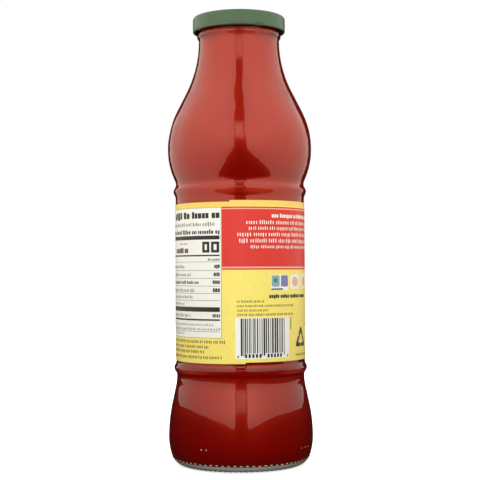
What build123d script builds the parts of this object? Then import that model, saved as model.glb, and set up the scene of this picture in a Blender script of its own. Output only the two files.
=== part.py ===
from build123d import *
import math
import os

# A tall waisted glass bottle of tomato passata, closed with a steel lug cap and
# wrapped in a paper label. Millimetres, +Z up. The origin is the centre of the
# ring that the bottle stands on. The front, with the label's overlap, faces -Y.

# ---- driving dimensions ----------------------------------------------------
height = 239.0            # standing surface to the top of the cap

# outside of the glass: radius and height of each level
bearing_r = 30.2          # outer edge of the ring it stands on
bearing_inner_r = 27.2    # inner edge of that ring
heel_corner = 7.0         # radius of the heel's corner
heel_side = 30.0          # radius of the heel's flank
bulge_r, bulge_z = 38.5, 14.8          # widest place of the lower body
low_waist_r, low_waist_z = 34.05, 47.4
low_ring_r, low_ring_z = 35.5, 51.4    # raised ring below the label
panel_r, panel_z0, panel_z1 = 34.45, 54.9, 141.0   # recess for the label
top_ring_r, top_ring_z = 35.6, 145.1   # raised ring above the label
top_waist_r, top_waist_z = 34.3, 148.9
shoulder_r, shoulder_z = 38.5, 167.6   # widest place of the shoulder
neck_r, neck_z = 21.6, 226.6

# neck finish
bead_r, bead_z0, bead_z1 = 22.3, 228.2, 229.0   # bead under the cap
finish_r = 21.9           # wall that the thread stands on
rim_z = 238.5             # sealing rim
bore_r = 19.0             # mouth
thread_count = 4
thread_r = 23.2           # crest of the thread
thread_first_deg = -42.5   # middle of the first thread, from the front towards +X
thread_span = 54.0        # degrees along the neck
thread_pitch_angle = 3.0  # rise of each thread, degrees
thread_height = 1.6
thread_mid_z = 233.7

# inside of the glass
wall = 2.4
base_corner_z = 4.8       # lowest place of the cavity
base_centre_z = 9.3       # the cavity's floor rises to its middle
punt_z = 4.2              # push-up under the base, at its middle

# contents
fill_z = 232.0            # level, hidden behind the cap's skirt

# cap
cap_r = 24.82
cap_bottom_z = 230.0
cap_sheet = 0.5
cap_corner = 1.6
cap_sunk_r = 17.6         # edge of the sunk middle panel
cap_sunk = 0.7
curl_r = 0.85             # half the thickness of the rolled edge
lug_span = 15.0           # degrees
lug_inner_r = 22.8
first_lug_deg = 26.0      # from the front, towards +X

# label
label_z0, label_z1 = 55.6, 138.8
label_inner_r = 34.48
paper = 0.2
overlap_from, overlap_to = -8.7, 4.3   # degrees from the front, towards +X


# ---- outlines --------------------------------------------------------------
def flow(p0, p1, ra, rb, along="z"):
    """Two arcs with a straight between them, from p0 to p1, both ends parallel to the
    given axis. ra is the radius that leaves p0, rb the one that reaches p1."""
    swap = along == "r"
    (a0, b0), (a1, b1) = ((p0[1], p0[0]), (p1[1], p1[0])) if swap else (p0, p1)
    db, da = abs(b1 - b0), abs(a1 - a0)
    total = ra + rb
    steepest = 2 * math.atan2(da, db)
    if total * math.sin(steepest) >= db:      # no room for a straight: scale both arcs
        k = db / (total * math.sin(steepest))
        ra, rb, t, straight = ra * k, rb * k, steepest, 0.0
    else:
        lo, hi = 0.0, steepest
        for _ in range(80):
            t = (lo + hi) / 2
            if db * math.sin(t) - da * math.cos(t) - total * (1 - math.cos(t)) < 0:
                lo = t
            else:
                hi = t
        straight = (db - total * math.sin(t)) / math.cos(t)
    sa, sb = (1 if a1 > a0 else -1), (1 if b1 > b0 else -1)

    def first(u):
        return (a0 + sa * ra * (1 - math.cos(u)), b0 + sb * ra * math.sin(u))

    def second(u):
        return (a1 - sa * rb * (1 - math.cos(u)), b1 - sb * rb * math.sin(u))

    steps = [("arc", first(t / 2), first(t))]
    if straight > 1e-3:
        steps.append(("line", second(t)))
        steps.append(("arc", second(t / 2), (a1, b1)))
    else:
        steps[0] = ("arc", first(t / 2), second(t))
        steps.append(("arc", second(t / 2), (a1, b1)))
    if swap:
        steps = [tuple([s[0]] + [(q[1], q[0]) for q in s[1:]]) for s in steps]
    return steps


def heel(radius, z, floor_z, side, corner):
    """From a vertical tangent at (radius, z) down round the corner to the floor."""
    drop = z - floor_z
    t = math.asin((drop - corner) / (side - corner))
    cx = radius - side + (side - corner) * math.cos(t)

    def flank(u):
        return (radius - side * (1 - math.cos(u)), z - side * math.sin(u))

    def bend(u):
        return (cx + corner * math.cos(u), floor_z + corner - corner * math.sin(u))

    return [
        ("arc", flank(t / 2), flank(t)),
        ("arc", bend((t + math.pi / 2) / 2), (cx, floor_z)),
    ]


def backwards(start, steps):
    """The same steps from their end to their start."""
    ends = [start] + [s[-1] for s in steps]
    back = []
    for n in range(len(steps) - 1, -1, -1):
        s = steps[n]
        back.append(("arc", s[1], ends[n]) if s[0] == "arc" else ("line", ends[n]))
    return back


def outline(start, steps):
    """A closed face in the plane of r and z."""
    edges, at = [], start
    for s in steps:
        end = s[-1]
        if math.dist(at, end) < 1e-6:
            continue
        if s[0] == "arc":
            edges.append(Edge.make_three_point_arc((at[0], 0, at[1]), (s[1][0], 0, s[1][1]), (end[0], 0, end[1])))
        else:
            edges.append(Edge.make_line((at[0], 0, at[1]), (end[0], 0, end[1])))
        at = end
    if math.dist(at, start) > 1e-6:
        edges.append(Edge.make_line((at[0], 0, at[1]), (start[0], 0, start[1])))
    return Face(Wire(edges))


def turned(face, degrees=360.0):
    return revolve(face, Axis.Z, degrees)


def about_z(shape, degrees):
    return shape.rotate(Axis.Z, degrees)


# ---- glass -----------------------------------------------------------------
def outside():
    """Up the outside, from the bearing ring to the neck."""
    start = (bearing_r, 0.0)
    steps = backwards((bulge_r, bulge_z), heel(bulge_r, bulge_z, 0.0, heel_side, heel_corner))
    # the heel ends where its own radii put it, and the bearing ring starts there
    start = heel(bulge_r, bulge_z, 0.0, heel_side, heel_corner)[-1][-1]
    steps += flow((bulge_r, bulge_z), (low_waist_r, low_waist_z), 84.0, 28.0)
    steps += flow((low_waist_r, low_waist_z), (low_ring_r, low_ring_z), 3.0, 3.0)
    steps += flow((low_ring_r, low_ring_z), (panel_r, panel_z0), 2.6, 3.6)
    steps.append(("line", (panel_r, panel_z1)))
    steps += flow((panel_r, panel_z1), (top_ring_r, top_ring_z), 4.8, 2.4)
    steps += flow((top_ring_r, top_ring_z), (top_waist_r, top_waist_z), 2.4, 3.0)
    steps += flow((top_waist_r, top_waist_z), (shoulder_r, shoulder_z), 5.0, 38.3)
    steps += flow((shoulder_r, shoulder_z), (neck_r, neck_z), 44.6, 62.0)
    return start, steps


def finish():
    """The bead, the threaded wall and the rim, then down the mouth."""
    steps = flow((neck_r, neck_z), (bead_r, bead_z0), 0.5, 0.5)
    steps.append(("line", (bead_r, bead_z1)))
    steps += flow((bead_r, bead_z1), (finish_r, bead_z1 + 0.9), 0.4, 0.4)
    k = math.sqrt(0.5)
    steps.append(("line", (finish_r, rim_z - 1.2)))
    steps.append(("arc", (finish_r - 1.2 + 1.2 * k, rim_z - 1.2 + 1.2 * k), (finish_r - 1.2, rim_z)))
    steps.append(("line", (bore_r + 1.0, rim_z)))
    steps.append(("arc", (bore_r + 1.0 - k, rim_z - 1.0 + k), (bore_r, rim_z - 1.0)))
    return steps


def cavity_side():
    """Down the inside of the wall, from the neck to the middle of the floor."""
    steps = flow((bore_r, neck_z), (shoulder_r - wall, shoulder_z), 64.0, 42.2)
    steps += flow((shoulder_r - wall, shoulder_z), (top_waist_r - wall, top_waist_z), 35.9, 7.4)
    steps += flow((top_waist_r - wall, top_waist_z), (top_ring_r - wall - 0.6, top_ring_z), 5.0, 5.0)
    steps += flow((top_ring_r - wall - 0.6, top_ring_z), (panel_r - wall, panel_z1), 6.0, 6.0)
    steps.append(("line", (panel_r - wall, panel_z0)))
    steps += flow((panel_r - wall, panel_z0), (low_ring_r - wall - 0.5, low_ring_z), 6.0, 6.0)
    steps += flow((low_ring_r - wall - 0.5, low_ring_z), (low_waist_r - wall, low_waist_z), 5.0, 5.0)
    steps += flow((low_waist_r - wall, low_waist_z), (bulge_r - wall - 0.1, bulge_z), 30.4, 81.6)
    bend = heel(bulge_r - wall - 0.1, bulge_z, base_corner_z, 24.0, 6.5)
    steps += bend
    steps += flow(bend[-1][-1], (0.0, base_centre_z), 40.0, 50.0, along="r")
    return steps


def under():
    """From the middle of the push-up out to the bearing ring."""
    steps = flow((0.0, punt_z), (22.0, 1.7), 60.0, 30.0, along="r")
    steps += flow((22.0, 1.7), (bearing_inner_r, 0.0), 3.0, 2.5, along="r")
    return steps


def thread(n):
    """One slanted thread on the neck finish."""
    ring = turned(outline((finish_r - 0.4, thread_mid_z - 4.0), [
        ("line", (thread_r, thread_mid_z - 4.0)),
        ("line", (thread_r, thread_mid_z + 4.0)),
        ("line", (finish_r - 0.4, thread_mid_z + 4.0)),
    ]), thread_span)
    ring = about_z(ring, -thread_span / 2)
    slab = Box(12, 40, thread_height).rotate(Axis.X, thread_pitch_angle).translate((22.5, 0, thread_mid_z))
    return about_z(ring & slab, thread_first_deg - 90 + n * 360 / thread_count)


def make_glass():
    start, steps = outside()
    steps = steps + finish()
    steps.append(("line", (bore_r, neck_z)))
    steps += cavity_side()
    steps.append(("line", (0.0, punt_z)))
    steps += under()
    body = turned(outline(start, steps))
    for n in range(thread_count):
        body = body + thread(n)
    return body


# ---- passata ---------------------------------------------------------------
def make_passata():
    """Fills the cavity against the glass, from its floor to the level in the neck."""
    start = (0.0, fill_z)
    steps = [("line", (bore_r, fill_z)), ("line", (bore_r, neck_z))] + cavity_side()
    return turned(outline(start, steps))


# ---- cap -------------------------------------------------------------------
def make_cap():
    """A pressed steel shell: sunk middle, rounded shoulder, skirt, rolled edge and four lugs."""
    top, s, k = height, cap_sheet, math.sqrt(0.5)
    curl_z = cap_bottom_z + curl_r
    inner = cap_corner - s
    cx, cz = cap_r - cap_corner, top - cap_corner
    steps = [("line", (cap_sunk_r - 1.2, top - cap_sunk))]
    steps += flow((cap_sunk_r - 1.2, top - cap_sunk), (cap_sunk_r + 0.8, top), 1.0, 1.0, along="r")
    steps.append(("line", (cx, top)))
    steps.append(("arc", (cx + cap_corner * k, cz + cap_corner * k), (cap_r, cz)))
    steps.append(("line", (cap_r, curl_z)))
    steps.append(("arc", (cap_r - curl_r, cap_bottom_z), (cap_r - 2 * curl_r, curl_z)))
    steps.append(("arc", (cap_r - curl_r - curl_r * k, curl_z + curl_r * k), (cap_r - curl_r, curl_z + curl_r)))
    steps.append(("line", (cap_r - s, curl_z + curl_r + 0.5)))
    steps.append(("line", (cap_r - s, cz)))
    steps.append(("arc", (cx + inner * k, cz + inner * k), (cx, top - s)))
    steps.append(("line", (cap_sunk_r + 0.8, top - s)))
    steps += flow((cap_sunk_r + 0.8, top - s), (cap_sunk_r - 1.2, top - cap_sunk - s), 1.0, 1.0, along="r")
    steps.append(("line", (0.0, top - cap_sunk - s)))
    shell = turned(outline((0.0, top - cap_sunk), steps))
    lug = turned(outline((lug_inner_r, cap_bottom_z + 0.45), [
        ("line", (cap_r - curl_r, cap_bottom_z + 0.45)),
        ("line", (cap_r - curl_r, cap_bottom_z + 1.35)),
        ("line", (lug_inner_r, cap_bottom_z + 1.15)),
    ]), lug_span)
    for n in range(4):
        shell = shell + about_z(lug, first_lug_deg - 90 - lug_span / 2 + n * 90)
    return shell


# ---- label -----------------------------------------------------------------
def make_label():
    """A paper wrap, two layers thick where its ends overlap."""
    outer = label_inner_r + paper
    wrap = Cylinder(outer, label_z1 - label_z0) - Cylinder(label_inner_r, label_z1 - label_z0)
    wrap = wrap.translate((0, 0, (label_z0 + label_z1) / 2))
    flap = turned(outline((outer - 0.05, label_z0 + 0.3), [
        ("line", (outer + paper, label_z0 + 0.3)),
        ("line", (outer + paper, label_z1)),
        ("line", (outer - 0.05, label_z1)),
    ]), overlap_to - overlap_from)
    return wrap + about_z(flap, overlap_from - 90)


NODES = {
    "glass_bottle": make_glass,
    "passata": make_passata,
    "lid": make_cap,
    "label": make_label,
}

os.makedirs("parts", exist_ok=True)
for node, make in NODES.items():
    shape = make()
    if not isinstance(shape, Solid):
        solids = shape.solids()
        shape = solids[0] if len(solids) == 1 else Compound(solids)
    export_step(shape, f"parts/{node}.step")
    box = shape.bounding_box()
    print(node, "solids", len(shape.solids()), "valid", shape.is_valid, "volume", round(shape.volume / 1000, 2), "cm3",
          "z", round(box.min.Z, 2), round(box.max.Z, 2), "r", round(box.max.X, 2))
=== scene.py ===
import math
import random

import bpy
import bmesh
from mathutils import Matrix, Vector, noise


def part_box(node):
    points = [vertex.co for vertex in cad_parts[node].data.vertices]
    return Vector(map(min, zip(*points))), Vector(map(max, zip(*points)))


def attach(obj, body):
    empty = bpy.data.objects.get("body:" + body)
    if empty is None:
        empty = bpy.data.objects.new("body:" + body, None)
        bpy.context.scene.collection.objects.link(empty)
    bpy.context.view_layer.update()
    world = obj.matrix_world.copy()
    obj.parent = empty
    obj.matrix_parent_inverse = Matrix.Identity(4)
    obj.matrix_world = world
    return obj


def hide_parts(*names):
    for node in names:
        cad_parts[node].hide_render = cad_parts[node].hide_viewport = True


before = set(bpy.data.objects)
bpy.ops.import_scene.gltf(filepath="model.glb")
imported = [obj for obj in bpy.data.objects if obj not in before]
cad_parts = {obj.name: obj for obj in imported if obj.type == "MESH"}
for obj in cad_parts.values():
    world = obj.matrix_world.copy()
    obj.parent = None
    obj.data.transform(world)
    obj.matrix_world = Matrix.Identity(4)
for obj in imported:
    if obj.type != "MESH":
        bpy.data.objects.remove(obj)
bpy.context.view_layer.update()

MM = 0.001
random.seed(20)

# ---- dimensions, in millimetres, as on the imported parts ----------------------
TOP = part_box("lid")[1][2] / MM               # 239.0
LABEL_Z1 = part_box("label")[1][2] / MM        # 138.8
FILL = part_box("passata")[1][2] / MM          # 232.0
WALL = 2.4
NECK_Z = 226.6
BORE = 19.0
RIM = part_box("glass_bottle")[1][2] / MM      # 238.5


# ---- outlines ----------------------------------------------------------------
def arc_points(centre, radius, a0, a1, step_deg=4.0, longest=2.4):
    n = max(2, math.ceil(abs(a1 - a0) / math.radians(step_deg)), math.ceil(abs(a1 - a0) * radius / longest))
    return [(centre[0] + radius * math.cos(a0 + (a1 - a0) * i / n), centre[1] + radius * math.sin(a0 + (a1 - a0) * i / n))
            for i in range(1, n + 1)]


def flow(p0, p1, ra, rb, along="z", step_deg=3.0):
    """Points after p0 up to p1: two arcs with a straight between them, both ends parallel to the axis."""
    swap = along == "r"
    (a0, b0), (a1, b1) = ((p0[1], p0[0]), (p1[1], p1[0])) if swap else (p0, p1)
    db, da = abs(b1 - b0), abs(a1 - a0)
    total = ra + rb
    steepest = 2 * math.atan2(da, db)
    if total * math.sin(steepest) >= db:
        k = db / (total * math.sin(steepest))
        ra, rb, t, straight = ra * k, rb * k, steepest, 0.0
    else:
        lo, hi = 0.0, steepest
        for _ in range(60):
            t = (lo + hi) / 2
            if db * math.sin(t) - da * math.cos(t) - total * (1 - math.cos(t)) < 0:
                lo = t
            else:
                hi = t
        straight = (db - total * math.sin(t)) / math.cos(t)
    sa, sb = (1 if a1 > a0 else -1), (1 if b1 > b0 else -1)
    out = []
    n = max(3, math.ceil(math.degrees(t) / step_deg), math.ceil(ra * t / 2.2))
    for i in range(1, n + 1):
        u = t * i / n
        out.append((a0 + sa * ra * (1 - math.cos(u)), b0 + sb * ra * math.sin(u)))
    m = max(3, math.ceil(math.degrees(t) / step_deg), math.ceil(rb * t / 2.2))
    runs = math.ceil(straight / 2.2) if straight > 1e-3 else 0
    last = out[-1]
    first2 = (a1 - sa * rb * (1 - math.cos(t)), b1 - sb * rb * math.sin(t))
    for i in range(1, runs + 1):
        k = i / runs
        out.append((last[0] + (first2[0] - last[0]) * k, last[1] + (first2[1] - last[1]) * k))
    for i in range(m - 1, -1, -1):
        u = t * i / m
        out.append((a1 - sa * rb * (1 - math.cos(u)), b1 - sb * rb * math.sin(u)))
    return [(q[1], q[0]) for q in out] if swap else out


def run(p0, p1, longest=2.2):
    n = max(1, math.ceil(math.dist(p0, p1) / longest))
    return [(p0[0] + (p1[0] - p0[0]) * i / n, p0[1] + (p1[1] - p0[1]) * i / n) for i in range(1, n + 1)]


def heel(radius, z, floor_z, side, corner):
    """Points after (radius, z) down round the corner to the floor, and the corner's centre radius."""
    drop = z - floor_z
    t = math.asin((drop - corner) / (side - corner))
    cx = radius - side + (side - corner) * math.cos(t)
    out = [(radius - side * (1 - math.cos(t * i / 6)), z - side * math.sin(t * i / 6)) for i in range(1, 7)]
    n = 26
    for i in range(1, n + 1):
        u = t + (math.pi / 2 - t) * i / n
        out.append((cx + corner * math.cos(u), floor_z + corner - corner * math.sin(u)))
    return out, cx


def glass_outside():
    """From the middle of the push-up, out and up the outside to the rim, and down the mouth."""
    pts = [(0.0, 4.2)]
    pts += flow(pts[-1], (22.0, 1.7), 60.0, 30.0, along="r", step_deg=2.0)
    pts += flow(pts[-1], (27.2, 0.0), 3.0, 2.5, along="r", step_deg=7.0)
    side, cx = heel(38.5, 14.8, 0.0, 30.0, 7.0)
    pts += run(pts[-1], (cx, 0.0), 0.5)
    up = [(38.5, 14.8)] + side
    up.reverse()
    pts += up[1:]
    pts += flow(pts[-1], (34.05, 47.4), 84.0, 28.0)
    pts += flow(pts[-1], (35.5, 51.4), 3.0, 3.0)
    pts += flow(pts[-1], (34.45, 54.9), 2.6, 3.6)
    pts += run(pts[-1], (34.45, 141.0), 8.0)
    pts += flow(pts[-1], (35.6, 145.1), 4.8, 2.4)
    pts += flow(pts[-1], (34.3, 148.9), 2.4, 3.0)
    pts += flow(pts[-1], (38.5, 167.6), 5.0, 38.3)
    pts += flow(pts[-1], (21.6, NECK_Z), 44.6, 62.0)
    pts += flow(pts[-1], (22.45, 228.1), 0.4, 0.4, step_deg=9.0)
    pts += [(22.5, 228.5), (22.5, 228.9), (22.45, 229.3)]
    pts += flow(pts[-1], (21.9, 230.1), 0.3, 0.3, step_deg=9.0)
    pts += run(pts[-1], (21.9, RIM - 1.2), 0.33)
    pts += arc_points((20.7, RIM - 1.2), 1.2, 0.0, math.pi / 2, 15.0)
    pts += [(20.0, RIM)]
    pts += arc_points((20.0, RIM - 1.0), 1.0, math.pi / 2, math.pi, 15.0)
    return pts


def cavity(grow=0.0, floor=3.5):
    """Down the inside of the wall from the neck to the middle of the floor, grown into the glass."""
    w, g = WALL - grow, grow
    pts = [(BORE + g, NECK_Z)]
    pts += flow(pts[-1], (38.5 - w, 167.6), 64.0, 42.2)
    pts += flow(pts[-1], (34.3 - w, 148.9), 35.9, 7.4)
    pts += flow(pts[-1], (35.0 - w, 145.1), 5.0, 5.0)
    pts += flow(pts[-1], (34.45 - w, 141.0), 6.0, 6.0)
    pts += run(pts[-1], (34.45 - w, 54.9), 8.0)
    pts += flow(pts[-1], (35.0 - w, 51.4), 6.0, 6.0)
    pts += flow(pts[-1], (34.05 - w, 47.4), 5.0, 5.0)
    pts += flow(pts[-1], (38.4 - w, 14.8), 30.4, 81.6)
    side, cx = heel(38.4 - w, 14.8, floor - g, 24.0, 6.5)
    pts += side
    pts += flow((cx, floor - g), (0.0, 9.3 - g), 40.0, 50.0, along="r", step_deg=2.0)
    return pts


# ---- mesh helpers --------------------------------------------------------------
def add_object(name, bm, material, smooth=True, auto=None):
    bmesh.ops.recalc_face_normals(bm, faces=bm.faces)
    mesh = bpy.data.meshes.new(name)
    bm.to_mesh(mesh)
    bm.free()
    for p in mesh.polygons:
        p.use_smooth = smooth
    ob = bpy.data.objects.new(name, mesh)
    bpy.context.scene.collection.objects.link(ob)
    mesh.materials.append(material)
    if auto is not None:
        mesh.set_sharp_from_angle(angle=math.radians(auto))
    return ob


def lathe(name, profile, n, material, shift=None, closed=False, auto=None):
    """A surface of revolution. shift(r, z, theta) gives each point's change in r and z. A profile that starts and ends on the axis is closed there."""
    bm = bmesh.new()
    rows = []
    for r, z in profile:
        if r < 1e-6:
            rows.append([bm.verts.new((0, 0, z * MM))])
            continue
        row = []
        for i in range(n):
            th = 2 * math.pi * i / n
            dr, dz = shift(r, z, th) if shift else (0.0, 0.0)
            row.append(bm.verts.new(((r + dr) * MM * math.sin(th), -(r + dr) * MM * math.cos(th), (z + dz) * MM)))
        rows.append(row)
    pairs = list(zip(rows[:-1], rows[1:]))
    if closed:
        pairs.append((rows[-1], rows[0]))
    for a, b in pairs:
        for i in range(n):
            j = (i + 1) % n
            if len(a) == 1 and len(b) == 1:
                continue
            if len(a) == 1:
                bm.faces.new((a[0], b[i], b[j]))
            elif len(b) == 1:
                bm.faces.new((a[i], b[0], a[j]))
            else:
                bm.faces.new((a[i], b[i], b[j], a[j]))
    return add_object(name, bm, material, auto=auto)


def smoothstep(a, b, x):
    if a == b:
        return float(x >= b)
    t = min(1.0, max(0.0, (x - a) / (b - a)))
    return t * t * (3 - 2 * t)


def turn(th):
    """An angle from -180 to 180 degrees, 0 at the front and positive towards +X."""
    return (math.degrees(th) + 180.0) % 360.0 - 180.0


# ---- materials -----------------------------------------------------------------
def new_material(name):
    m = bpy.data.materials.new(name)
    m.use_nodes = True
    nt = m.node_tree
    bsdf = nt.nodes["Principled BSDF"]
    return m, nt, bsdf


def setv(bsdf, **values):
    for k, v in values.items():
        bsdf.inputs[k.replace("_", " ")].default_value = v


def noise_node(nt, scale, detail=4.0, roughness=0.6, coords=None):
    tc = coords or nt.nodes.new("ShaderNodeTexCoord")
    n = nt.nodes.new("ShaderNodeTexNoise")
    n.inputs["Scale"].default_value = scale
    n.inputs["Detail"].default_value = detail
    n.inputs["Roughness"].default_value = roughness
    nt.links.new(tc.outputs["Object"], n.inputs["Vector"])
    return n


def ramp(nt, source, stops):
    r = nt.nodes.new("ShaderNodeValToRGB")
    r.color_ramp.elements[0].position = stops[0][0]
    r.color_ramp.elements[0].color = (*stops[0][1], 1)
    r.color_ramp.elements[1].position = stops[-1][0]
    r.color_ramp.elements[1].color = (*stops[-1][1], 1)
    for pos, col in stops[1:-1]:
        e = r.color_ramp.elements.new(pos)
        e.color = (*col, 1)
    nt.links.new(source, r.inputs["Fac"])
    return r


def bump(nt, bsdf, height, strength, distance):
    b = nt.nodes.new("ShaderNodeBump")
    b.inputs["Strength"].default_value = strength
    b.inputs["Distance"].default_value = distance
    nt.links.new(height, b.inputs["Height"])
    nt.links.new(b.outputs["Normal"], bsdf.inputs["Normal"])
    return b


def lin(r, g, b):
    def one(c):
        c /= 255.0
        return c / 12.92 if c <= 0.04045 else ((c + 0.055) / 1.055) ** 2.4
    return (one(r), one(g), one(b))


def glass_material():
    m, nt, b = new_material("clear_glass")
    setv(b, Base_Color=(0.93, 0.96, 0.93, 1), Roughness=0.0, IOR=1.52, Transmission_Weight=1.0)
    return m


def ring_floor_reflection_material():
    """The rough moulded ring that the bottle stands on, in a pale olive colour that is painted reflection of the
    floor's light in the thick heel.
    """
    m, nt, b = new_material("frosted_glass_painted_reflection")
    setv(b, Base_Color=(0.66, 0.63, 0.50, 1), Roughness=0.32, IOR=1.5, Transmission_Weight=0.12)
    return m


def passata_material():
    m, nt, b = new_material("tomato_passata")
    fine = noise_node(nt, 900.0, 5.0, 0.7)
    broad = noise_node(nt, 45.0, 3.0, 0.5)
    mix = nt.nodes.new("ShaderNodeMath")
    mix.operation = "ADD"
    nt.links.new(fine.outputs["Fac"], mix.inputs[0])
    nt.links.new(broad.outputs["Fac"], mix.inputs[1])
    half = nt.nodes.new("ShaderNodeMath")
    half.operation = "MULTIPLY"
    half.inputs[1].default_value = 0.5
    nt.links.new(mix.outputs[0], half.inputs[0])
    col = ramp(nt, half.outputs[0], [(0.3, (0.215, 0.0008, 0.0003)), (0.5, (0.240, 0.0012, 0.0005)), (0.72, (0.270, 0.0020, 0.0009))])
    nt.links.new(col.outputs["Color"], b.inputs["Base Color"])
    rough = ramp(nt, fine.outputs["Fac"], [(0.3, (0.22,) * 3), (0.7, (0.25,) * 3)])
    nt.links.new(rough.outputs["Color"], b.inputs["Roughness"])
    setv(b, IOR=2.4, Specular_IOR_Level=0.66, Specular_Tint=(1.0, 0.10, 0.035, 1))
    bump(nt, b, fine.outputs["Fac"], 0.02, 0.0001)
    return m


def lid_material():
    m, nt, b = new_material("green_lacquer")
    fine = noise_node(nt, 2200.0, 3.0, 0.6)
    broad = noise_node(nt, 60.0, 3.0, 0.6)
    col = ramp(nt, broad.outputs["Fac"], [(0.3, (0.040, 0.088, 0.038)), (0.7, (0.050, 0.104, 0.046))])
    nt.links.new(col.outputs["Color"], b.inputs["Base Color"])
    rough = ramp(nt, broad.outputs["Fac"], [(0.3, (0.34,) * 3), (0.7, (0.44,) * 3)])
    nt.links.new(rough.outputs["Color"], b.inputs["Roughness"])
    bump(nt, b, fine.outputs["Fac"], 0.12, 0.00008)
    setv(b, Specular_IOR_Level=0.6)
    return m


def paper_material(name, colour, spread=0.03, rough=0.42):
    """Printed coated paper: a faint mottle in the ink, fibre in the gloss and the surface."""
    m, nt, b = new_material(name)
    mottle = noise_node(nt, 420.0, 4.0, 0.6)
    lo = tuple(c * (1 - spread) for c in colour)
    hi = tuple(min(1.0, c * (1 + spread)) for c in colour)
    col = ramp(nt, mottle.outputs["Fac"], [(0.3, lo), (0.7, hi)])
    nt.links.new(col.outputs["Color"], b.inputs["Base Color"])
    fibre = noise_node(nt, 1500.0, 4.0, 0.65)
    r = ramp(nt, fibre.outputs["Fac"], [(0.3, (rough - 0.05,) * 3), (0.7, (rough + 0.07,) * 3)])
    nt.links.new(r.outputs["Color"], b.inputs["Roughness"])
    bump(nt, b, fibre.outputs["Fac"], 0.12, 0.00006)
    setv(b, Specular_IOR_Level=0.5)
    return m


def ink_material(name, colour, rough=0.45):
    """Fine print: one plain colour, with the paper's fibre in its gloss."""
    m, nt, b = new_material(name)
    setv(b, Base_Color=(*colour, 1))
    fibre = noise_node(nt, 1500.0, 3.0, 0.6)
    r = ramp(nt, fibre.outputs["Fac"], [(0.3, (rough - 0.05,) * 3), (0.7, (rough + 0.07,) * 3)])
    nt.links.new(r.outputs["Color"], b.inputs["Roughness"])
    return m


GLASS = glass_material()
PASSATA = passata_material()
LACQUER = lid_material()


def keep(ob, node_slot, *nodes):
    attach(ob, "root")
    if nodes:
        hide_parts(*nodes)
    return ob


# ---- glass bottle ----------------------------------------------------------------
THREADS = 4


def glass_shift(r, z, th):
    """Moulded detail: knurls round the standing ring and up the heel, threads, and a slight waviness."""
    dr, dz = 0.0, 0.0
    deg = turn(th)
    if z < 1.2 and r > 25.8:                     # knurled standing ring
        w = smoothstep(26.2, 27.2, r) * (1 - smoothstep(0.5, 1.1, z)) if r < 31 else (1 - smoothstep(0.5, 1.1, z))
        dz += 0.34 * w * (0.5 - 0.5 * math.cos(72 * th))
    if 0.3 < z < 3.7 and r > 29.0:               # the knurls run a little way up the heel
        dr -= 0.3 * smoothstep(0.2, 0.9, z) * (1 - smoothstep(2.6, 3.7, z)) * (0.5 - 0.5 * math.cos(72 * th))
    if r > 21.0 and 229.6 < z < RIM - 1.0:       # slanted threads
        for n in range(THREADS):
            mid = -42.5 + n * 90
            off = (deg - mid + 180.0) % 360.0 - 180.0
            along = off / 27.0
            if abs(along) < 1.15:
                centre = 233.7 + math.tan(math.radians(3.0)) * 22.5 * math.radians(off)
                d = abs(z - centre)
                ends = 1 - smoothstep(0.88, 1.12, abs(along))
                dr += 1.3 * ends * (1 - smoothstep(0.45, 1.05, d))
    if 150 < z < 226 and r > 24:                 # waviness of blown glass
        p = Vector((math.sin(th) * 2.2, math.cos(th) * 2.2, z * 0.045))
        dr += 0.05 * noise.noise(p) * smoothstep(150, 158, z) * (1 - smoothstep(215, 226, z))
    if 160 < z < 208 and r > 26:                 # stronger ripples halfway up the shoulder
        p = Vector((math.sin(th) * 5.0, math.cos(th) * 5.0, z * 0.09))
        dr += 0.17 * noise.noise(p) * smoothstep(160, 172, z) * (1 - smoothstep(196, 208, z))
    if 8 < z < 46:
        p = Vector((math.sin(th) * 2.0, math.cos(th) * 2.0, z * 0.05 + 7.0))
        dr += 0.035 * noise.noise(p) * smoothstep(8, 14, z) * (1 - smoothstep(38, 46, z))
    if r + dr > 38.47:
        dr = min(dr, max(0.0, 38.47 - r) if dr > 0 else dr)
    return dr, dz


outer = glass_outside()
inner = [(BORE, RIM - 2.5)] + [(BORE, 232.0), (BORE, 229.0)] + cavity()
inside = {(round(r, 4), round(z, 4)) for r, z in inner}
bottle = lathe("bottle_glass", outer + inner, 360, GLASS,
               shift=lambda r, z, th: (0.0, 0.0) if (round(r, 4), round(z, 4)) in inside else glass_shift(r, z, th))
RING = ring_floor_reflection_material()
bottle.data.materials.append(RING)
for poly in bottle.data.polygons:            # the standing ring is moulded rough, and carries the painted floor reflection
    if poly.center.z < 3.5 * MM and math.hypot(poly.center.x, poly.center.y) > 25.5 * MM:
        poly.material_index = 1
keep(bottle, "glass", "glass_bottle")
bottle.visible_shadow = False


def outside_radius(z):
    """Radius of the glass's outside at height z on the heel."""
    side = [p for p in outer if p[0] > 29.9 and p[1] < 15.0]
    for (r0, z0), (r1, z1) in zip(side[:-1], side[1:]):
        if min(z0, z1) <= z <= max(z0, z1) and abs(z1 - z0) > 1e-6:
            return r0 + (r1 - r0) * (z - z0) / (z1 - z0)
    return side[-1][0]


def domes(name, spots, material):
    """Small moulded bumps on the heel: (degrees, z, half width, half height, how far they stand out), in millimetres."""
    bm = bmesh.new()
    for deg, z, wide, tall, out in spots:
        t = math.radians(deg)
        r, up = outside_radius(z), outside_radius(z + 0.2)
        lean = math.atan2(up - r, 0.2)
        turned = Matrix.Translation(Vector((r * math.sin(t), -r * math.cos(t), z)) * MM) @ Matrix.Rotation(t, 4, "Z") @ Matrix.Rotation(-lean, 4, "X")
        bmesh.ops.create_icosphere(bm, subdivisions=2, radius=1.0, matrix=turned @ Matrix.Diagonal((wide * MM, out * MM, tall * MM, 1.0)))
    return keep(add_object(name, bm, material), "glass", "glass_bottle")


# the knurls and coding dots take the ring's painted floor reflection, so the knurls show as pale dashes of painted
# highlight
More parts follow.
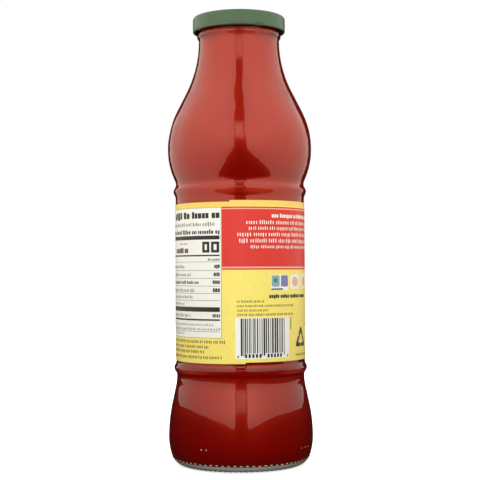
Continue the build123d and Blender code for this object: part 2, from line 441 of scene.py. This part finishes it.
knurls = domes("ring_knurls", [(5.0 * n, 4.0 + 0.12 * math.sin(n * 1.7), 0.72, 0.26, 0.16) for n in range(72)], RING)
dots = domes("mould_dots", [(-32.0, 11.9, 0.36, 0.36, 0.06), (-27.5, 11.9, 0.36, 0.36, 0.06), (54.9, 11.0, 0.3, 0.3, 0.05), (60.4, 11.0, 0.3, 0.3, 0.05), (65.5, 11.1, 0.3, 0.3, 0.05)], RING)

# ---- passata ---------------------------------------------------------------------
into_wall = 0.12
sauce = [(0.0, FILL - 0.25), (BORE - 3.0, FILL - 0.25), (BORE - 0.8, FILL - 0.12), (BORE + into_wall, FILL)]
sauce += [(BORE + into_wall, 229.0)] + cavity(into_wall)
passata = lathe("passata_fill", sauce, 240, PASSATA)
keep(passata, "passata", "passata")


# ---- cap -------------------------------------------------------------------------
def cap_profile():
    bottom, s, curl, corner, R = 230.8, 0.5, 0.75, 1.6, 24.82
    cz, cx = TOP - corner, R - corner
    pts = [(0.0, TOP - 0.7)]
    pts += run(pts[-1], (15.2, TOP - 0.7), 2.5)
    pts += flow(pts[-1], (16.4, TOP - 0.45), 0.4, 0.4, along="r", step_deg=12)
    pts += flow(pts[-1], (18.4, TOP), 1.0, 1.0, along="r", step_deg=8)
    pts += run(pts[-1], (cx, TOP), 1.0)
    pts += arc_points((cx, cz), corner, math.pi / 2, 0.0, 7.0)
    pts += run(pts[-1], (R, bottom + curl + 0.9), 0.5)
    pts += [(R - 0.05, bottom + curl + 0.6), (R - 0.03, bottom + curl + 0.3)]
    pts += arc_points((R - curl, bottom + curl), curl, 0.0, -math.pi * 1.5, 14.0)
    pts += [(R - s - 0.02, bottom + 2 * curl + 0.5)]
    pts += run(pts[-1], (R - s, cz), 0.8)
    pts += arc_points((cx, cz), corner - s, 0.0, math.pi / 2, 12.0)
    pts += run(pts[-1], (18.4, TOP - s), 1.5)
    pts += flow(pts[-1], (16.4, TOP - 0.45 - s), 1.0, 1.0, along="r", step_deg=10)
    pts += flow(pts[-1], (15.2, TOP - 0.7 - s), 0.4, 0.4, along="r", step_deg=14)
    pts += [(0.0, TOP - 0.7 - s)]
    return pts


def cap_shift(r, z, th):
    """The rolled edge is pressed inwards at each lug."""
    dr, dz = 0.0, 0.0
    if z < 232.6 and r > 22.5:
        for n in range(4):
            off = (turn(th) - (26.0 + 90 * n) + 180.0) % 360.0 - 180.0
            w = 1 - smoothstep(3.5, 7.5, abs(off))
            if w > 0:
                low = 1 - smoothstep(231.2, 232.4, z)
                dr -= w * low * (0.55 + (1.0 if r < 24.3 else 0.0) * smoothstep(24.4, 23.2, r) * 0.6)
    return dr, dz


cap = lathe("lug_cap", cap_profile(), 288, LACQUER, shift=cap_shift)
keep(cap, "lid", "lid")

# ---- label -----------------------------------------------------------------------
PAPER_IN, PAPER = 34.49, 0.17
FLAP0, FLAP1 = -8.7, 4.3        # the overlap, degrees from the front
R_OUT = PAPER_IN + PAPER


def label_radius(deg):
    """Outer radius of the paper at an angle from the flap's edge, FLAP0 <= deg <= FLAP1 + 360."""
    return R_OUT + (PAPER + 0.015) * (1 - smoothstep(FLAP1 + 0.3, FLAP1 + 5.0, deg))


def label_drop(deg):
    """The wrap is slightly out of true: its far end lies lower."""
    return -0.75 * smoothstep(30.0, 330.0, deg - FLAP0)


def on_label(deg, z, lift=0.0):
    r = (label_radius(deg) + lift) * MM
    t = math.radians(deg)
    return (r * math.sin(t), -r * math.cos(t), (z + label_drop(deg)) * MM)


YELLOW = paper_material("label_yellow", lin(247, 226, 111))
# a darker yellow for the paper's top edge: painted shade
TOP_EDGE_SHADE = paper_material("label_top_edge_shade", lin(243, 206, 100))
RED = paper_material("label_red", lin(216, 44, 30))
WHITE = paper_material("label_white", lin(240, 238, 232), 0.015)
LAB0, LAB1 = 56.2, LABEL_Z1 - 0.02


def printed(deg, z, lift):
    """A printed point: heights in the print's own scale, which sits a little low on the paper."""
    return on_label(deg, z - 0.45, lift)


def label_sheet():
    """The paper itself: one strip wrapped past a full turn."""
    bm = bmesh.new()
    n = 372
    cols = []
    for i in range(n + 1):
        deg = FLAP0 + (FLAP1 + 360.0 - FLAP0) * i / n
        t = math.radians(deg)
        col = []
        for lift in (0.0, -PAPER):
            zs = [LAB0 + (LAB1 - LAB0) * k / 8 for k in range(9)]
            col.append([bm.verts.new(on_label(deg, z, lift)) for z in zs])
        cols.append(col)
    for a, b in zip(cols[:-1], cols[1:]):
        for side in (0, 1):
            for k in range(8):
                bm.faces.new((a[side][k], b[side][k], b[side][k + 1], a[side][k + 1]))
        for k in (0, 8):
            bm.faces.new((a[0][k], b[0][k], b[1][k], a[1][k]))
    for c in (cols[0], cols[-1]):
        for k in range(8):
            bm.faces.new((c[0][k], c[0][k + 1], c[1][k + 1], c[1][k]))
    return add_object("label_paper", bm, YELLOW, auto=40)


paper = label_sheet()
keep(paper, "label", "label")


def patches(name, rects, material, lift=0.02, sink=0.015, widest=1.5):
    """Printed shapes as thin closed tiles on the paper: (deg0, deg1, z0, z1), each face bent to the wrap."""
    bm = bmesh.new()
    for d0, d1, z0, z1 in rects:
        n = max(1, math.ceil((d1 - d0) / widest))
        cols = []
        for i in range(n + 1):
            d = d0 + (d1 - d0) * i / n
            cols.append([bm.verts.new(printed(d, z, h)) for z, h in ((z0, lift), (z1, lift), (z1, -sink), (z0, -sink))])
        for a, b in zip(cols[:-1], cols[1:]):
            for k in range(4):
                bm.faces.new((a[k], a[(k + 1) % 4], b[(k + 1) % 4], b[k]))
        bm.faces.new(cols[0])
        bm.faces.new(cols[-1][::-1])
    ob = add_object(name, bm, material, smooth=True, auto=30)
    keep(ob, "label")
    return ob


PALE = ink_material("label_pale_ink", lin(236, 176, 150))
BLACK = ink_material("label_black_ink", lin(34, 31, 30))
OLIVE = ink_material("label_olive_ink", lin(104, 92, 38))
SNOW = ink_material("label_white_ink", lin(244, 238, 230))
GREEN = ink_material("label_green_ink", lin(78, 128, 62))
BLUE = ink_material("label_blue_ink", lin(132, 168, 182))
LILAC = ink_material("label_lilac_ink", lin(120, 122, 176))
TOMATO = ink_material("label_tomato_ink", lin(200, 36, 22))
DEG = math.degrees(1.0 / R_OUT)              # degrees for each millimetre round the label


def left(d0, d1, z0, z1):
    """A shape on the wrap's far end, which comes round under the overlap and lies a little lower."""
    return (d0 + 360.0, d1 + 360.0, z0 + 0.75, z1 + 0.75)


def words(d0, d1, z0, z1, rng, solid=0.62, lean=0.72, wide=0.66, flush=False):
    """A line of print as rows of plain blocks, grouped like words, from d0 to d1 degrees, or flush with d1."""
    h = z1 - z0
    unit = h * wide * DEG
    out, d, in_word, word = [], d0, 0, rng.randint(2, 8)
    while d + unit <= d1 + 1e-6:
        w = unit * rng.uniform(0.75, 1.15)
        tall = h if rng.random() < 0.28 else h * lean
        drop = h * 0.18 if rng.random() < 0.1 else 0.0
        out.append((d, min(d1, d + w * solid), z0 - drop, z0 + tall))
        d += w
        in_word += 1
        if in_word >= word:
            d += unit * 0.55
            in_word, word = 0, rng.randint(2, 8)
    if flush and out:
        gap = d1 - out[-1][1]
        out = [(a + gap, b + gap, c, e) for a, b, c, e in out]
    return out


rng = random.Random(7)
# yellow fields: a darker band along the top edge, painted shade
top_edge_shade_band = patches("label_top_edge_shade_band", [(FLAP0, FLAP1 + 358.5, 136.5, LAB1 + 0.4)], TOP_EDGE_SHADE, lift=0.012)
# red field: from the overlap round to the right, and its far end left of the overlap
RED0, RED1 = 103.75, 135.95
red = patches("label_red_field", [(FLAP0 - 0.04, 250.0, RED0, RED1), left(-15.6, 3.0, RED0, RED1)], RED)
pale = patches("label_red_lines", [(FLAP0 + 0.05, 250.0, 134.65, 135.2), (FLAP0 + 0.05, 250.0, 104.5, 105.3),
                                   left(-15.6, -8.9, 134.65, 135.2), left(-15.6, -8.9, 104.5, 105.3)], PALE, lift=0.035)
# white table
T0, T1, TB, TT = -102.0, -16.2, 69.0, 135.5
white = patches("label_table_field", [left(T0, T1, TB, TT)], WHITE)
k = 0.42
frame_lines = [left(T0, T1, TT, TT + 0.16), left(T0, T1, TB - 0.16, TB), left(T1, T1 + 0.3, TB, TT), left(T0 - 0.3, T0, TB, TT)]
black = list(frame_lines)
E, S = -17.5, -100.0


def row(z0, z1, a, b, solid=0.66, lean=0.74, wide=0.66):
    black.extend(left(*q) for q in words(a, b, z0, z1, rng, solid, lean, wide, b == E))


row(130.2, 133.6, -84.0, E, 0.86, 0.8, 0.8)
row(126.3, 128.2, -88.0, -18.0, 0.42)
row(122.2, 124.4, -90.0, E, 0.72)
black.append(left(S, E, 119.3, 121.3))
row(117.0, 117.8, -66.0, -50.5, 0.5)
row(112.5, 115.2, -75.0, -46.2, 0.85, 0.85)
for a, b in ((-34.0, -26.9), (-25.3, -17.8)):        # a large two-part figure, left as plain blocks
    black.append(left(a, b, 112.6, 113.9))
    black.append(left(a, b, 116.9, 118.2))
    black.append(left(a, a + 2.4, 113.9, 116.9))
    black.append(left(b - 2.4, b, 113.9, 116.9))
black.append(left(S, E, 110.75, 111.5))
row(108.5, 109.6, -29.0, E, 0.6)
for z in (107.9, 103.5, 99.5, 95.5, 91.75, 88.1, 72.2):
    black.append(left(S, E, z - 0.13, z + 0.05))
for n, (z0, z1, text_to) in enumerate(((104.7, 106.4, -55.0), (100.5, 102.4, -46.0), (96.6, 98.4, -36.0), (92.4, 94.4, -42.0))):
    row(z0, z1 - 0.2, -88.0, text_to, 0.42 if n != 2 else 0.7)
    row(z0, z1, -24.5 if n < 3 else -25.0, E, 0.85, 0.95)
row(89.1, 90.7, -80.0, -44.0, 0.42)
row(85.6, 87.0, -80.0, -56.0, 0.42)
black.append(left(S, E, 82.3, 84.7))
row(79.5, 81.2, -88.0, -46.0, 0.42)
row(79.5, 81.2, -25.0, E, 0.7, 0.95)
black.append(left(S, E, 77.75, 78.6))
row(75.1, 76.3, -95.0, -23.0, 0.34)
row(72.8, 74.1, -95.0, E, 0.34)
row(70.5, 71.5, -95.0, -56.0, 0.34)
# right of the overlap, on yellow
black += words(25.3, 78.0, 89.2, 91.1, rng, 0.84, 0.84)
ink_black = patches("label_black_print", black, BLACK, lift=0.035, sink=0.0, widest=2.4)
# white print on the red field
snow = []
for z0, z1, a, b in ((130.3, 132.6, 28.1, 92.0), (126.9, 129.1, 5.4, 94.0), (124.0, 126.0, 7.5, 90.0), (120.8, 123.0, -2.2, 95.0), (117.5, 119.7, -0.6, 93.0), (114.6, 116.4, 9.0, 88.0)):
    snow += words(a, b, z0 + 0.1, z1 - 0.15, rng, 0.72 if z0 > 130 else 0.42, 0.8)
ink_snow = patches("label_white_print", snow, SNOW, lift=0.035, sink=0.0, widest=2.4)
# olive lines on yellow
olive = []
for z0, z1, a, b in ((87.0, 88.2, -2.6, 22.0), (84.8, 85.9, -2.6, 54.0), (82.5, 83.6, -2.6, 26.0), (80.3, 81.5, -2.6, 53.0)):
    olive += words(a, b, z0, z1, rng, 0.5, 0.9)
for z0, z1, b in ((66.2, 67.8, -11.4), (63.6, 65.1, -27.4), (61.1, 62.6, -31.8), (58.3, 59.7, -15.0)):
    olive += [left(*q) for q in words(-95.0, b, z0, z1, rng, 0.5, 0.9)]
z = 79.2
while z > 73.2:                                       # a short upright line beside the bars
    step = rng.uniform(0.25, 0.5)
    olive.append((47.8, 49.4, z - step, z))
    z -= step + 0.2
for z0, z1 in ((58.9, 60.2),):
    olive += words(56.0, 84.0, z0, z1, rng, 0.5, 0.9)
ink_olive = patches("label_olive_print", olive, OLIVE, lift=0.03, sink=0.0, widest=2.4)
# bars on a white block
bar_field = patches("label_bar_field", [(-4.3, 46.4, 58.5, 79.4)], WHITE, lift=0.02)
bars, d = [], 0.2
while d < 41.2:
    w = rng.choice((0.6, 0.75, 1.1, 1.6))
    bars.append((d, min(41.4, d + w), 61.2 if len(bars) not in (0, 1, 10, 11) and d < 39.5 else 60.0, 79.0))
    d += w + rng.choice((0.55, 0.6, 0.9, 1.2))
for n in range(12):                                   # plain blocks where the numbers go
    d = -2.6 if n == 0 else (43.8 if n == 11 else 3.6 + (n - 1) * 3.1 + (4.2 if n > 5 else 0.0))
    bars.append((d, d + (1.9 if 0 < n < 11 else 1.1), 59.0, 60.9 if 0 < n < 11 else 60.1))
ink_bars = patches("label_bars", bars, BLACK, lift=0.04, sink=0.0)


def shape_patch(name, shapes, material, lift=0.03, sink=0.0):
    """Printed discs and other round shapes, bent to the wrap: (deg, z, outline function of angle giving millimetres)."""
    bm = bmesh.new()
    for deg, zc, reach in shapes:
        size = max(reach(2 * math.pi * i / 48) for i in range(48))
        n = max(48, 12 * math.ceil(size * 2 * math.pi / 12.0))
        rings = max(1, math.ceil(size / 1.6))
        tops = []
        for h in (lift, -sink):
            rows = [[bm.verts.new(printed(deg, zc, h))]]
            for q in range(1, rings + 1):
                rows.append([bm.verts.new(printed(deg + reach(2 * math.pi * i / n) * q / rings * math.cos(2 * math.pi * i / n) * DEG,
                                                   zc + reach(2 * math.pi * i / n) * q / rings * math.sin(2 * math.pi * i / n), h)) for i in range(n)])
            for i in range(n):
                j = (i + 1) % n
                bm.faces.new((rows[0][0], rows[1][i], rows[1][j]))
                for q in range(1, rings):
                    bm.faces.new((rows[q][i], rows[q + 1][i], rows[q + 1][j], rows[q][j]))
            tops.append(rows[-1])
        for i in range(n):
            j = (i + 1) % n
            bm.faces.new((tops[0][i], tops[0][j], tops[1][j], tops[1][i]))
    return keep(add_object(name, bm, material, auto=30), "label")


def rounded(w, h, power=4.0):
    """A rounded box, w by h millimetres."""
    return lambda t: 1.0 / ((abs(math.cos(t)) / (w / 2)) ** power + (abs(math.sin(t)) / (h / 2)) ** power) ** (1 / power)


def star(points, outer_r, inner_r):
    return lambda t: inner_r + (outer_r - inner_r) * (0.5 + 0.5 * math.cos(points * t - math.pi / 2)) ** 2


# plain badges on the yellow
badges_white = shape_patch("label_badges", [(36.3, 97.0, rounded(11.4, 8.2, 8)), (55.4, 97.5, rounded(8.6, 7.6, 6)), (74.0, 97.5, rounded(8.6, 7.6, 6))], SNOW, lift=0.03)
badge_blue = shape_patch("label_badge_left", [(31.6, 97.9, rounded(4.9, 5.8, 10))], BLUE, lift=0.045)
badge_lilac = shape_patch("label_badge_right", [(41.2, 97.9, rounded(4.9, 5.8, 10))], LILAC, lift=0.045)
badge_green = shape_patch("label_badge_dot", [(31.6, 98.2, rounded(2.2, 2.6, 2)), (33.4, 93.7, rounded(8.0, 0.9, 8))], GREEN, lift=0.06)
badge_ring = shape_patch("label_badge_rings", [(55.4, 97.5, rounded(5.6, 5.0, 2)), (74.0, 97.5, rounded(5.6, 5.0, 2))], PALE, lift=0.045)
# a plain three-sided mark
def three_sided(inside, most):
    return lambda t: min(most, inside / math.cos((t - math.pi / 2) % (2 * math.pi / 3) - math.pi / 3))


mark = shape_patch("label_mark", [(65.4, 67.4, three_sided(3.7, 6.4))], BLACK, lift=0.03)
mark_in = shape_patch("label_mark_inside", [(65.4, 67.4, three_sided(1.9, 3.3))], YELLOW, lift=0.045)
mark_gaps = patches("label_mark_gaps", [(64.9, 65.9, 62.0, 66.6), (57.0, 61.6, 69.0, 69.6), (69.2, 73.8, 69.0, 69.6)], YELLOW, lift=0.045, sink=0.0)
# the front of the label, away from this view: a plain cream shield, tomatoes and leaves
shield = shape_patch("label_front_shield", [(178.0, 120.0, rounded(62.0, 22.0, 3.2))], SNOW, lift=0.05)
shield_in = shape_patch("label_front_shield_inside", [(178.0, 120.0, rounded(58.0, 18.4, 3.2))], GREEN, lift=0.07)
stripes = patches("label_front_stripes", [(178.0 - w, 178.0 + w, z0, z0 + h) for w, z0, h in ((36.0, 121.4, 3.6), (26.0, 116.6, 2.2), (14.0, 113.6, 1.2))], SNOW, lift=0.09, sink=0.0)
fruit = [(146.0, 82.0, rounded(21.0, 18.5, 2.3)), (210.0, 82.0, rounded(21.0, 18.5, 2.3)), (178.0, 77.5, rounded(25.5, 22.5, 2.3))]
tomatoes = shape_patch("label_front_tomatoes", fruit, TOMATO, lift=0.03)
calyx = shape_patch("label_front_leaves", [(146.0, 88.4, star(5, 5.6, 1.2)), (210.0, 88.4, star(5, 5.6, 1.2)), (178.0, 85.6, star(5, 6.8, 1.4))], GREEN, lift=0.05)
shine = shape_patch("label_front_shine", [(139.5, 84.5, rounded(3.0, 4.6, 2)), (203.5, 84.5, rounded(3.0, 4.6, 2)), (169.5, 80.5, rounded(3.6, 5.6, 2))], PALE, lift=0.05)
weight = patches("label_front_weight", [q for q in words(120.0, 140.0, 61.0, 63.2, rng, 0.8, 0.9)] + [q for q in words(214.0, 240.0, 61.0, 63.2, rng, 0.8, 0.9)], BLACK, lift=0.03, sink=0.0)

# ---- floor, light and camera --------------------------------------------------------
def stage_floor():
    bm = bmesh.new()
    for x, y in ((-3, -2), (3, -2), (3, 4), (-3, 4)):
        bm.verts.new((x, y, 0.0))
    bm.faces.new(bm.verts)
    m, nt, b = new_material("pale_floor")
    n = noise_node(nt, 3.0, 2.0, 0.5)
    col = ramp(nt, n.outputs["Fac"], [(0.3, (0.90, 0.90, 0.90)), (0.7, (0.92, 0.92, 0.92))])
    nt.links.new(col.outputs["Color"], b.inputs["Base Color"])
    setv(b, Roughness=0.9, Specular_IOR_Level=0.0, Emission_Color=(1, 1, 1, 1))
    # the floor glows by itself, half as strongly within 5 cm of the bottle as beyond 35 cm: painted shade round the
    # bottle's foot
    tc = nt.nodes.new("ShaderNodeTexCoord")
    far = nt.nodes.new("ShaderNodeVectorMath")
    far.operation = "LENGTH"
    nt.links.new(tc.outputs["Object"], far.inputs[0])
    floor_glow_with_painted_shade = ramp(nt, far.outputs["Value"], [(0.05, (0.5,) * 3), (0.35, (1.0,) * 3)])
    nt.links.new(floor_glow_with_painted_shade.outputs["Color"], b.inputs["Emission Strength"])
    m.cycles.emission_sampling = "NONE"
    ob = add_object("floor", bm, m, smooth=False)
    ob.visible_glossy = False
    ob.visible_diffuse = False
    ob.visible_transmission = False
    return ob


floor = stage_floor()


def wall(name, quads, radiance, fade=None):
    """A lit diffuser that the bottle mirrors, from flat four-cornered pieces (metres); the camera doesn't see it. fade: (height, share of the radiance) pairs."""
    bm = bmesh.new()
    for quad in quads:
        bm.faces.new([bm.verts.new(p) for p in quad])
    m, nt, b = new_material(name)
    setv(b, Base_Color=(0, 0, 0, 1), Specular_IOR_Level=0.0, Emission_Color=(1.0, 0.955, 0.86, 1), Emission_Strength=radiance)
    if fade:
        tc = nt.nodes.new("ShaderNodeTexCoord")
        sep = nt.nodes.new("ShaderNodeSeparateXYZ")
        nt.links.new(tc.outputs["Object"], sep.inputs[0])
        half = nt.nodes.new("ShaderNodeMath")
        half.operation = "MULTIPLY"
        half.inputs[1].default_value = 0.5
        nt.links.new(sep.outputs["Z"], half.inputs[0])
        level = ramp(nt, half.outputs[0], [(h / 2, (radiance * v,) * 3) for h, v in fade])
        nt.links.new(level.outputs["Color"], b.inputs["Emission Strength"])
    mesh = bpy.data.meshes.new(name)
    bm.to_mesh(mesh)
    bm.free()
    mesh.materials.append(m)
    ob = bpy.data.objects.new(name, mesh)
    bpy.context.scene.collection.objects.link(ob)
    ob.visible_camera = False
    return ob


def side_wall(name, x, edge, top, radiance, ledge):
    """edge: the wall's lower edge as (y, z) points, from the viewer's end to the far end. ledge: a shelf that runs inwards from it, as (x, y, z) corners."""
    quads = [((x, a[0], a[1]), (x, b[0], b[1]), (x, b[0], top), (x, a[0], top)) for a, b in zip(edge[:-1], edge[1:])]
    return wall(name, quads + ledge, radiance, ((0.0, 0.58), (0.10, 0.68), (0.30, 1.0)))


def ledge(x, outer, inner):
    """A shelf from the wall at x inwards: outer and inner edges as (y, z) and (x, y, z) points that pair up."""
    return [((x, *outer[i]), (x, *outer[i + 1]), inner[i + 1], inner[i]) for i in range(len(outer) - 1)]


side_wall("wall_left", -0.22, [(-1.35, 0.105), (-0.5, 0.080), (-0.2, 0.078), (0.1, 0.050), (0.30, 0.050)], 2.2, 1.42,
          ledge(-0.22, [(-1.1, 0.096), (-0.7, 0.086), (-0.45, 0.080), (-0.2, 0.078), (0.1, 0.050)],
                [(-0.205, -1.0, 0.073), (-0.165, -0.65, 0.062), (-0.138, -0.40, 0.056), (-0.105, -0.20, 0.049), (-0.10, 0.06, 0.040)]))
side_wall("wall_right", 0.25, [(-1.35, 0.105), (-0.5, 0.080), (-0.2, 0.078), (0.1, 0.050), (0.28, 0.050)], 2.2, 1.42,
          ledge(0.25, [(-1.1, 0.096), (-0.7, 0.086), (-0.45, 0.080), (-0.2, 0.078), (0.1, 0.050)],
                [(0.229, -1.0, 0.073), (0.194, -0.61, 0.0655), (0.169, -0.335, 0.060), (0.148, -0.127, 0.056), (0.11, 0.06, 0.040)]))
wall("wall_front", [((-0.22, -1.6, 0.4), (0.25, -1.6, 0.4), (0.25, -1.6, 1.6), (-0.22, -1.6, 1.6))], 1.42, ((0.40, 0.0), (0.62, 0.95), (1.15, 0.95), (1.40, 0.0)))
back_data = bpy.data.lights.new("light_back", "AREA")
back_data.shape, back_data.size = "SQUARE", 1.0
back_data.energy = 12.0
back = bpy.data.objects.new("light_back", back_data)
bpy.context.scene.collection.objects.link(back)
back.location = (0.0, 1.4, 0.5)
back.rotation_euler = (Vector((0, 0, 0.12)) - Vector((0.0, 1.4, 0.5))).to_track_quat("-Z", "Y").to_euler()
back.visible_camera = False
back.visible_glossy = False
back.visible_transmission = False
top_data = bpy.data.lights.new("light_top", "AREA")
top_data.shape, top_data.size = "SQUARE", 1.2
top_data.energy = 24.0
top_data.color = (0.88, 0.95, 1.0)
top = bpy.data.objects.new("light_top", top_data)
bpy.context.scene.collection.objects.link(top)
top.location = (0.0, -1.3, 0.22)
top.rotation_euler = (Vector((0, 0, 0.12)) - Vector((0.0, -1.3, 0.22))).to_track_quat("-Z", "Y").to_euler()
top.visible_camera = False
top.visible_glossy = False
top.visible_transmission = False

world = bpy.data.worlds.new("studio")
bpy.context.scene.world = world
world.use_nodes = True
wt = world.node_tree
bg = wt.nodes["Background"]
path = wt.nodes.new("ShaderNodeLightPath")
dark = wt.nodes.new("ShaderNodeBackground")
dark.inputs["Color"].default_value = (0.012, 0.012, 0.012, 1)
dark.inputs["Strength"].default_value = 1.0
bg.inputs["Color"].default_value = (1, 1, 1, 1)
bg.inputs["Strength"].default_value = 1.0
mixw = wt.nodes.new("ShaderNodeMixShader")
wt.links.new(path.outputs["Is Camera Ray"], mixw.inputs["Fac"])
wt.links.new(dark.outputs[0], mixw.inputs[1])
wt.links.new(bg.outputs[0], mixw.inputs[2])
wt.links.new(mixw.outputs[0], wt.nodes["World Output"].inputs["Surface"])

cam_data = bpy.data.cameras.new("camera")
cam = bpy.data.objects.new("camera", cam_data)
bpy.context.scene.collection.objects.link(cam)
bpy.context.scene.camera = cam
cam_data.sensor_width = 36.0
cam_data.lens = 88.5
cam_data.clip_start = 0.01
cam.location = (0.0, -0.63425, 0.1035)
pitch, roll = math.radians(1.425), math.radians(-0.31)
cam.rotation_euler = (Matrix.Rotation(math.radians(90) + pitch, 3, "X") @ Matrix.Rotation(roll, 3, "Z")).to_euler()

bpy.context.scene.view_settings.view_transform = "Standard"
